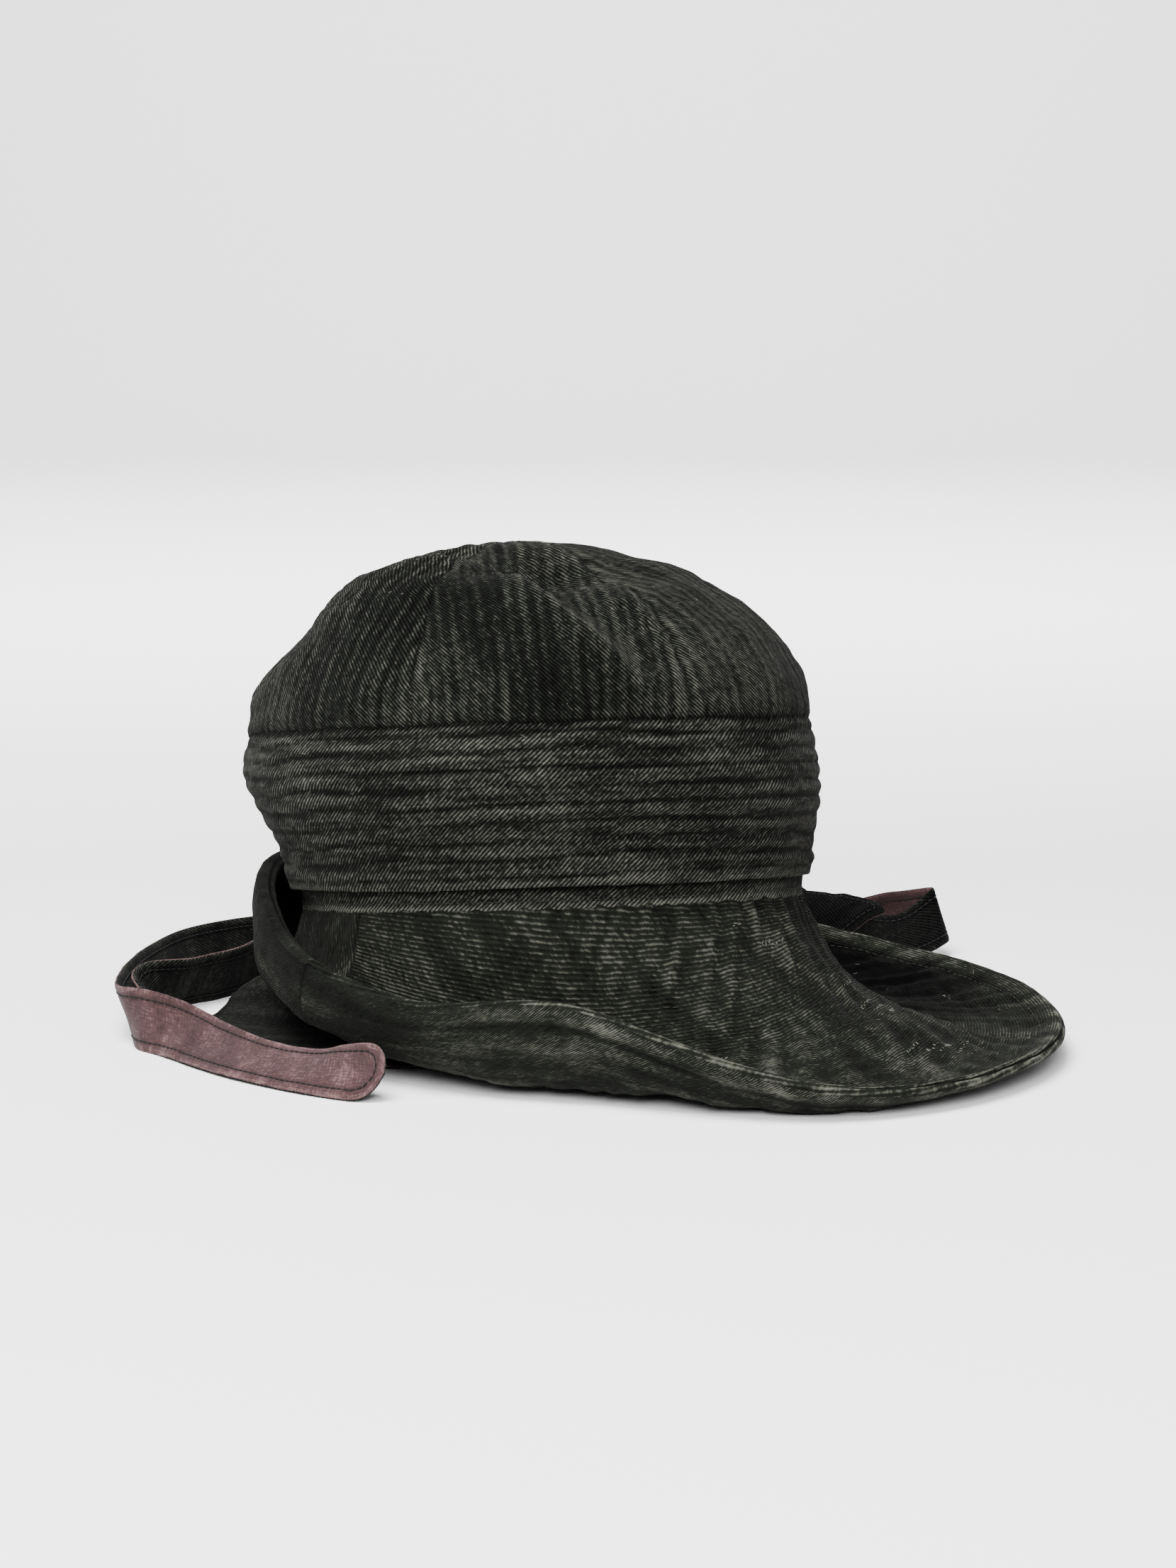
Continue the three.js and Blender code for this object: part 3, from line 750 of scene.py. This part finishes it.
# Brim: two panels of the same denim, taken double: a long bill in front and a short piece behind.
# Rows of stitching stiffen the bill, the edge is hemmed, and round the back it is turned up.
BRIM_WIDTH = 92
BRIM_CLOTH = 2.4
BRIM_SEAM = 118
BRIM_GRID_ROWS = 76
BRIM_ROW_PITCH = 7.0
BRIM_STITCHED_ROWS = (24.5, 31.5, 38.5, 45.5, 52.5, 59.5, 66.5)
HEM_STITCH_IN = 7.0
EDGE_LIFT = 4.6
# The folded edge, from the lower face to the upper one: two lips with a groove between them.
HEM_RIM = (
    (0.93, 0.2, 0),
    (0.72, 0.34, 0.2),
    (0.46, 0.32, 0.2),
    # The groove between the lips is darkened as painted shade.
    (0.35, 0.08, -1),
    (0.24, 0.22, 0.1),
    (0.07, 0.18, 0.2),
)
# Worn stitches on the bill: the angle, the share of the way out, and how many bits of thread.
LOOSE_THREADS = [
    (-24.2, 0.04, 4), (-19, 0.08, 7), (-15, 0.09, 6), (-0.6, 0.28, 6),
    (-4, 0.37, 8), (-2, 0.41, 7), (0, 0.45, 5), (-9, 0.6, 5),
    (-6, 0.64, 8), (-3, 0.67, 7), (0, 0.71, 8), (10, 0.9, 4),
    (37, 0.79, 4), (-38, 0.3, 4),
]
# Every 30 degrees from the front: four points outward and up, as shares of the brim's width and of
# the head seam's height.
BRIM_ROWS = [
    (0.14, 0.63, 0.5, 0.28, 0.89, 0, 1.08, 0.12),
    (0.12, 0.3, 0.42, 0.06, 0.82, 0.06, 1.0, 0.23),
    (0.12, 0.24, 0.36, 0.1, 0.68, 0.1, 0.82, 0.32),
    (0.12, 0.24, 0.34, 0.16, 0.5, 0.25, 0.55, 0.58),
    (0.1, 0.26, 0.3, 0.2, 0.44, 0.32, 0.44, 0.8),
    (0.08, 0.32, 0.24, 0.26, 0.34, 0.45, 0.32, 1.05),
    (0.06, 0.4, 0.19, 0.36, 0.27, 0.6, 0.22, 1.15),
    (0.06, 0.44, 0.15, 0.42, 0.2, 0.62, 0.14, 0.95),
    (0.08, 0.32, 0.2, 0.28, 0.26, 0.46, 0.2, 0.72),
    (0.1, 0.16, 0.25, 0.13, 0.32, 0.38, 0.29, 0.57),
    (0.14, 0.08, 0.35, 0.04, 0.42, 0.32, 0.39, 0.6),
    (0.3, 0.4, 0.62, 0.12, 0.84, -0.05, 0.93, 0.1),
]


def brim_surface(angle, v):
    """The brim's upper and inner face before its quilting."""
    row = between(BRIM_ROWS, angle / (2 * math.pi), "round")
    seam = body_point(angle, 1, 0.0)
    reach = np.hypot(seam[..., 0], seam[..., 1])
    points = [seam]
    for k in range(0, 8, 2):
        out = (reach + row[..., k] * BRIM_WIDTH) / reach
        up = BRIM_CLOTH + row[..., k + 1] * SEAM_HEIGHT
        points.append(np.stack([seam[..., 0] * out, seam[..., 1] * out, up], axis=-1))
    return rounded_chain(points, v)


brim_denim = denim(
    "washed_twill_brim",
    shades=("#0a0b09", "#151713", "#5c5c54"),
    twill=3,
    pitch=0.00115,
    slub=(0.012, 0.05),
    contrast=0.5,
)
plain_denim = denim(
    "washed_twill_back_brim",
    shades=("#0a0b09", "#151713", "#4f4f49"),
    twill=50,
    pitch=0.0011,
    slub=(0.012, 0.05),
    contrast=0.5,
)
for name, first, last, columns, flat, area, brim_cloth in (
    ("front_brim", -BRIM_SEAM, BRIM_SEAM, 480, (0.46, 0.17), 0.0517, brim_denim),
    ("back_brim", BRIM_SEAM, 360 - BRIM_SEAM, 240, (0.36, 0.06), 0.0177, plain_denim),
):
    u, v = grid(BRIM_GRID_ROWS, columns)
    angle = np.radians(first + u * (last - first))
    brim = brim_surface(angle, v * 0.985)
    turned = (np.degrees(angle) + 180) % 360 - 180
    outer = np.clip((v - 0.72) / 0.28, 0, 1) ** 1.5
    brim[..., 2] += EDGE_LIFT * hump(turned + 25, 38) * outer
    square = facing(brim)
    out = run(brim, 0)
    to_edge = out[-1:] - out
    along = run(brim, 1)
    to_seam = np.minimum(along, along[:, -1:] - along)
    bill = np.clip(np.cos(angle) * 1.6 - 0.1, 0, 1)
    row_wave = np.cos(out * 2 * math.pi / BRIM_ROW_PITCH)
    rows_of_stitch = 0.16 * (row_wave - 1) * np.clip(to_edge / 9 - 1, 0, 1) * bill
    radial = ripple(np.stack([turned * 1.1 + 0.25 * out, out], axis=-1), (5.5, 50), 41)
    folds = 0.7 * ripple(brim, (30, 30, 24), 42) + 0.3 * ripple(brim, (9, 9, 9), 43)
    roll = np.clip((np.abs(turned) - 70) / 42, 0, 1)
    hem = hump(np.maximum(to_edge - 3.0, 0), 3.0 + 3.0 * roll)
    groove = -0.4 * hump(to_edge - 7, 0.9) * (1 - roll)
    join = -0.6 * hump(to_seam, 0.9) * np.clip(to_edge / 10, 0, 1)
    relief = rows_of_stitch + (0.3 + 0.5 * bill) * radial * np.clip(to_edge / 12, 0.1, 1)
    folds *= np.clip(out / 10, 0, 1) * (1 - 0.7 * hump(to_edge, 8))
    shape = brim + square * folds[..., None]
    upper = shape - square * (relief + join + groove + (0.9 + 3.0 * roll) * hem)[..., None]
    lower = shape + square * (BRIM_CLOTH + 0.3 * relief + (1.5 + 0.1 * roll) * hem)[..., None]
    # The hollow of the brim on the far side is darkened strongly, as painted shade.
    hollow_shade = hump(turned - 67, 29) * np.clip((0.95 - v) * 9, 0, 1) * np.clip(v * 8, 0, 1)
    wear_and_shade = 0.34 * hump(to_edge - 1.5, 2.6) * (1 - roll) - 0.5 * hump(to_edge - 7, 0.9) * (1 - roll)
    wear_and_shade += (0.1 * row_wave + 0.14 * radial * (1 - hollow_shade)) * bill - 0.6 * hump(to_seam, 0.7)
    wear_and_shade -= 2.1 * hollow_shade + 0.5 * roll * hem
    piece = cloth_piece(
        f"{name}_cloth", lower, upper, brim_cloth, wear_and_shade, top_turned=True, rim=HEM_RIM
    )
    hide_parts(name)
    columns_at = np.arange(columns + 1.0)
    every_row = np.arange(BRIM_GRID_ROWS + 1)
    lines = []
    for distance, measured, half_turn, last_row in (
        (-HEM_STITCH_IN, -to_edge, 95, BRIM_GRID_ROWS),
        *((distance, out, 52, 66) for distance in BRIM_STITCHED_ROWS),
    ):
        rows_at = np.array([np.interp(distance, column, every_row) for column in measured.T])
        kept = (np.abs(turned[0]) < half_turn) & (rows_at < last_row)
        if kept.sum() > 8:
            lines.append(sewn_line(upper[:, ::-1], rows_at[kept], columns - columns_at[kept]))
    sewn = [lint_on(f"{name}_lint", upper, round(columns * 0.2), 90, flip=True)]
    if lines:
        sewn.append(
            stitches(f"{name}_stitches", lines, dark_thread, pitch=3.4, length=2.5, width=0.42)
        )
        spots = np.array(
            [
                (turn + 0.65 * k, share + 0.003 * math.sin(9 * k + turn))
                for turn, share, count in LOOSE_THREADS
                for k in range(count)
            ]
        )
        columns_of = (spots[:, 0] - first) / (last - first) * columns
        places, outward = sewn_line(upper, spots[:, 1] * BRIM_GRID_ROWS, columns_of)
        lengths = [1.0] * len(spots)
        sewn.append(
            fibres("loose_thread_bits", places, -outward, lengths, 0.2, lint_cotton, 95)
        )


# Ear flaps: a denim ply over a dusty pink ply, bagged out and stitched round the edge. Each hangs
# from the head seam inside the brim, passes under the brim's fold and spreads on the table.
FLAP_LENGTH = 130
FLAP_PLY = 1
FOLD_CLEARANCE = 3
FLAP_THICKNESS = 2 * FLAP_PLY + SEAM_GAP
FLAP_CORNER = 0.06
FLAP_ROOT_HALF = 33
FLAP_GRID = (96, 72)
FLAP_STITCH_IN = 3.2
FLAP_FIRST_STITCH = 8
FLAP_CORNER_COLUMNS = 4.5
# For each flap: the angle of its root, where the strap is sewn across its end, and rows down it of
# x and y, height, rise of the near side, half width, and the way it faces in degrees.
FLAPS = {
    "right": (
        -125,
        0.35,
        [
            (-0.32, -0.37, 0, 0.13, 0.35, -27),
            (-0.49, -0.35, 0, 0.1, 0.43, -49),
            (-0.68, -0.36, 0, 0.095, 0.42, -61),
            (-0.83, -0.4, 0, 0.065, 0.38, -63),
            (-0.94, -0.42, 0, 0, 0.27, -75),
        ],
    ),
    "left": (
        105,
        0.7,
        [
            (-0.127, 0.56, 0.09, 0, 0.3, -168),
            (-0.02, 0.85, 0, 0, 0.35, -174),
            (0.1, 1.07, 0, 0, 0.34, 178),
            (0.18, 1.18, 0.19, -0.02, 0.34, 172),
            (0.27, 1.29, 0.225, -0.02, 0.37, 170),
        ],
    ),
}


def flap_surface(root, rows, u, v):
    """The flap's upper face: u runs across it and v from the head seam to its end."""
    side = 2 * u - 1
    angle = np.radians(root + side * FLAP_ROOT_HALF)
    points = [body_point(angle, 1 - (BRIM_CLOTH + FOLD_CLEARANCE) / head_reach(angle), -BRIM_CLOTH)]
    for x, y, up, rise, half, turn in rows:
        x = x + side * half * math.cos(math.radians(turn))
        y = y + side * half * math.sin(math.radians(turn))
        z = (up + rise * np.maximum(-side, 0) ** 2) * FLAP_LENGTH + FLAP_THICKNESS
        points.append(np.stack([x * FLAP_LENGTH, y * FLAP_LENGTH, z], axis=-1))
    pull = points[-2] - points[-1]
    pull /= np.linalg.norm(pull, axis=-1, keepdims=True)
    points[-1] = points[-1] + pull * (FLAP_CORNER * FLAP_LENGTH * side**6)[..., None]
    return rounded_chain(points, v)


# Pink lining: soft cotton plain weave, washed and worn. It gives the eye a dusty dull pink with
# short threads both ways and paler rubbed patches. Threads of about 0.3 mm are drawn 0.7 mm wide.
def lining_cloth(name):
    """Worn plain weave: threads both ways, rubbed paler in patches."""
    s = Shader(name)
    grain = s.node("ShaderNodeUVMap", uv_map="grain")

    def threads(wide, long):
        scaled = s.node("ShaderNodeMapping", {"Vector": grain, "Scale": (1 / wide, 1 / long, 1)})
        return s.node("ShaderNodeTexNoise", {"Vector": scaled, "Scale": 1.0, "Detail": 2.0})

    weave = {0: threads(0.0007, 0.004), 1: threads(0.004, 0.0007)}
    weave = s.node("ShaderNodeMath", weave, operation="ADD")
    # This attribute holds rubbed wear, and on the far flap and far strap painted shade.
    wear_and_shade = s.node("ShaderNodeAttribute", output="Fac", attribute_name="wear_and_shade")
    light = -1.25
    for pattern, share in ((weave, 1.1), (threads(0.012, 0.014), 1.2), (wear_and_shade, 0.5)):
        parts = {0: pattern, 1: share, 2: light}
        light = s.node("ShaderNodeMath", parts, operation="MULTIPLY_ADD")
    wear_and_shade_stops = ((0, "#251818"), (0.5, "#382627"), (1, "#5f4848"))
    colour = s.node("ShaderNodeValToRGB", {"Fac": light}, stops=wear_and_shade_stops)
    bump = s.node("ShaderNodeBump", {"Strength": 0.7, "Distance": 0.0003, "Height": weave})
    finish = {"Base Color": colour, "Roughness": 0.93, "Specular IOR Level": 0.15}
    finish |= {"Sheen Weight": 0.05, "Sheen Roughness": 0.5, "Normal": bump}
    s.node("ShaderNodeOutputMaterial", {"Surface": s.node("ShaderNodeBsdfPrincipled", finish)})
    return s.material


flap_denim = denim(
    "washed_twill_flap",
    shades=("#070807", "#0f100e", "#393b35"),
    twill=30,
    pitch=0.0011,
    slub=(0.009, 0.06),
    contrast=0.7,
)
pink_weave = lining_cloth("worn_pink_plain_weave")

# Black cotton thread, twisted: it shows as a dark dashed line on the pink.
black_thread = plain_material("black_cotton_thread", "#0c0b0b", 0.8, 0.2)


def two_plies(names, points, lift, edge, seam_at, denim_below, kept):
    """A denim ply and a pink ply over one surface, drawn together along their edge.

    lift is how far the middle of both stands off the surface, edge the way to the nearest edge, and
    kept how far both plies are darkened as painted shade, from 0 to 1."""
    square = facing(points)
    sewn = 0.62 + 0.38 * np.clip(edge / 3.0, 0, 1) ** 0.5
    sewn *= 1 - 0.3 * hump(edge - FLAP_STITCH_IN, 0.8)
    middle = points + square * lift[..., None]
    away = square * (FLAP_THICKNESS / 2 * sewn)[..., None]
    lower = (middle, middle - away, middle - away, -1)
    upper = (middle + away, middle, middle + away, 1)
    # Paler on the very edge, darker along the stitching, and darkened by kept as painted shade.
    wear_and_shade = 0.5 * hump(edge, 1.2) - 0.5 * hump(edge - FLAP_STITCH_IN, 0.9) - 0.8 * kept
    for name, (at_top, at_bottom, face, way), material, slot in (
        (names[0], lower if denim_below else upper, flap_denim, "flap_denim"),
        (names[1], upper if denim_below else lower, pink_weave, "pink_lining"),
    ):
        piece = cloth_piece(f"{name}_cloth", at_top, at_bottom, material, wear_and_shade)
        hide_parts(name)
        line, outward = sewn_line(face, *seam_at)
        thread = stitches(
            f"{name}_stitches",
            [(line, way * outward)],
            black_thread,
            pitch=2.7,
            length=2.4,
            width=0.6,
        )


for side, (root, _, rows) in FLAPS.items():
    u, v = grid(*FLAP_GRID)
    flap = flap_surface(root, rows, u, v)
    along, up = run(flap, 1), run(flap, 0)
    edge = np.minimum(np.minimum(along, along[:, -1:] - along), up[-1:] - up)
    waves = 0.5 * ripple(flap, (26, 26, 30), 51)
    waves += 0.3 * ripple(flap, (9, 9, 12), 52) * hump(edge, 12)
    waves = waves * np.clip(up / 12, 0, 1) - 0.45
    last_row, last_column = FLAP_GRID
    inset = [np.interp(FLAP_STITCH_IN, row, np.arange(last_column + 1)) for row in along]
    from_end = (up - up[-1:])[:, last_column // 2]
    end_row = np.interp(-FLAP_STITCH_IN, from_end, np.arange(last_row + 1))
    down = np.arange(FLAP_FIRST_STITCH, end_row)
    inset = np.array(inset)[FLAP_FIRST_STITCH:][: len(down)]
    across = np.linspace(FLAP_CORNER_COLUMNS, last_column - FLAP_CORNER_COLUMNS, 80)
    seam_rows = np.concatenate([down, np.full(len(across), end_row), down[::-1]])
    seam_columns = np.concatenate([inset, across, last_column - inset[::-1]])
    # The far flap, the left one, is darkened all over as painted shade.
    two_plies(
        (f"{side}_ear_flap", f"{side}_flap_lining"),
        flap,
        lift=FLAP_THICKNESS / 2 + waves,
        edge=edge,
        seam_at=(seam_rows, seam_columns),
        denim_below=True,
        kept=np.full_like(u, side == "left"),
    )


# Straps: long double tapes of the flaps' two cloths with rounded tips, sewn to the ends of the
# flaps, stitched along both edges and lying on edge on the table.
STRAP_WIDTH = 22
STRAP_SPAN = 188
STRAP_GRID_ROWS = 18
STRAP_WALK = 200
# For each strap: the side that the lining faces, the columns of its grid, its flat size, and its
# way over the table as x, y, lift and lean in degrees.
STRAPS = {
    "right": (
        -1,
        250,
        (0.022, 0.255),
        [
            (-0.788, -0.255, 0, 40), (-0.8, -0.21, 0, 0), (-0.792, -0.15, 0, -20),
            (-0.787, -0.085, 0, -25), (-0.76, 0, 0, -22), (-0.76, 0.096, 0, -18),
            (-0.766, 0.2, 0, -10), (-0.72, 0.37, 0, 0), (-0.61, 0.52, 0, 0), (-0.45, 0.63, 0, 0),
            (-0.29, 0.69, 0, 0),
        ],
    ),
    "left": (
        1,
        600,
        (0.022, 0.7),
        [
            (0.13, 1.03, 0.1, -75), (0.21, 1.1, 0.02, -40), (0.31, 1.14, 0.015, -10),
            (0.4, 1.15, 0.03, -10), (0.425, 1.115, 0.03, -25), (0.388, 1.055, 0.01, -45),
            (0.33, 1.005, 0, -40), (0.247, 0.955, 0, -15), (0.152, 0.933, 0, 0),
            (-0.115, 0.938, 0, 0), (-0.34, 0.856, 0, 0), (-0.593, 0.704, 0, 0),
            (-0.776, 0.506, 0, 0), (-0.872, 0.335, 0, 0), (-0.925, 0.15, 0, -12),
            (-0.9, -0.03, 0, -20), (-0.85, -0.19, 0, -24), (-0.785, -0.335, 0, -24),
            (-0.725, -0.44, 0, -16), (-0.66, -0.485, 0, 12), (-0.59, -0.495, 0, 38),
            (-0.53, -0.515, 0, 52), (-0.46, -0.55, 0, 60), (-0.351, -0.601, 0, 64),
            (-0.223, -0.644, 0, 62), (-0.112, -0.676, 0, 44), (-0.015, -0.69, 0, 32),
        ],
    ),
}


def strap_share(to_tip):
    """How wide the round tip is at a distance from its end, as a share of the strap's width."""
    inward = 1 - np.clip(to_tip / (STRAP_WIDTH / 2), 0, 1)
    return np.maximum(np.sqrt(1 - inward**2), 0.1)


def strap_surface(side, u, v):
    """The middle of a strap, with u along it and v across it, and the millimetres along it."""
    lining_side, _, _, rows = STRAPS[side]
    root, strap_at, flap_rows = FLAPS[side]
    near = flap_surface(root, flap_rows, *grid(400, 400))
    at = round(strap_at * 400)
    edge = near[-1, at + 20] - near[-1, at - 20]
    outward = facing(near)[-1, at]
    forward = np.cross(outward, edge) * (1, 1, 0)
    forward /= np.linalg.norm(forward)
    half = STRAP_WIDTH / 2
    start = near[-1, at] + outward * FLAP_THICKNESS / 2
    first = []
    for step in (2 * SEAM_GAP, half):
        place = (start + forward * step) / STRAP_SPAN
        lift = place[2] - FLAP_THICKNESS / 2 / STRAP_SPAN
        first.append((place[0], place[1], lift, -90 * lining_side))
    rows = np.array(first + rows)
    route = rows[:, :2] * STRAP_SPAN
    ahead_of = between(route, np.minimum(u + 1e-4, 1), "free")
    travel = ahead_of - between(route, np.maximum(u - 1e-4, 0), "free")
    travel /= np.linalg.norm(travel, axis=-1, keepdims=True)
    lift, lean = np.moveaxis(between(rows[:, 2:], u), -1, 0)
    lean = np.radians(lean)
    height = np.maximum(lift, 0) * STRAP_SPAN + half * np.abs(np.cos(lean))
    height = height + FLAP_THICKNESS / 2 * np.abs(np.sin(lean))
    middle = np.concatenate([between(route, u, "free"), height[..., None]], axis=-1)
    across = np.stack(
        [-travel[..., 1] * np.sin(lean), travel[..., 0] * np.sin(lean), np.cos(lean)], axis=-1
    )
    walk_at = np.linspace(0, 1, STRAP_WALK + 1)
    walk = between(route, walk_at, "free")
    gone = np.append(0, np.cumsum(np.linalg.norm(np.diff(walk, axis=0), axis=1)))
    travelled = np.interp(u, walk_at, gone)
    width = STRAP_WIDTH * strap_share(gone[-1] - travelled)
    return middle + across * ((v - 0.5) * width)[..., None], travelled


for side, (lining_side, columns, flat, _) in STRAPS.items():
    u, v = grid(STRAP_GRID_ROWS, columns)
    strap, travelled = strap_surface(side, u, v)
    length = travelled[0, -1]
    up = run(strap, 0)
    edge = np.minimum(np.minimum(up, up[-1:] - up), length - travelled)
    waves = ripple(np.stack([travelled, v * STRAP_WIDTH], axis=-1), (16, 30), 61)
    half = STRAP_WIDTH / 2
    seam_out = half - FLAP_STITCH_IN
    turn = np.linspace(0, math.pi, 40)
    straight = np.arange(4.0, length - half, 2.0)
    beside = np.full(len(straight), seam_out)
    tip = length - half + seam_out * np.sin(turn)
    seam_along = np.concatenate([straight, tip, straight[::-1]])
    seam_across = np.concatenate([beside, seam_out * np.cos(turn), -beside])
    seam_width = STRAP_WIDTH * strap_share(length - seam_along)
    seam_rows = (0.5 + seam_across / seam_width) * STRAP_GRID_ROWS
    seam_columns = np.interp(seam_along, travelled[0], np.arange(columns + 1))
    # The left strap is darkened as painted shade along its far loop, and a little about 560 mm
    # along it.
    kept = np.clip(1.5 - travelled / 120, 0, 1) + 0.25 * hump(travelled - 560, 60)
    two_plies(
        (f"{side}_strap", f"{side}_strap_lining"),
        strap,
        lift=0.25 * waves * (travelled > 14),
        edge=edge,
        seam_at=(seam_rows, seam_columns),
        denim_below=lining_side > 0,
        kept=kept * (side == "left"),
    )
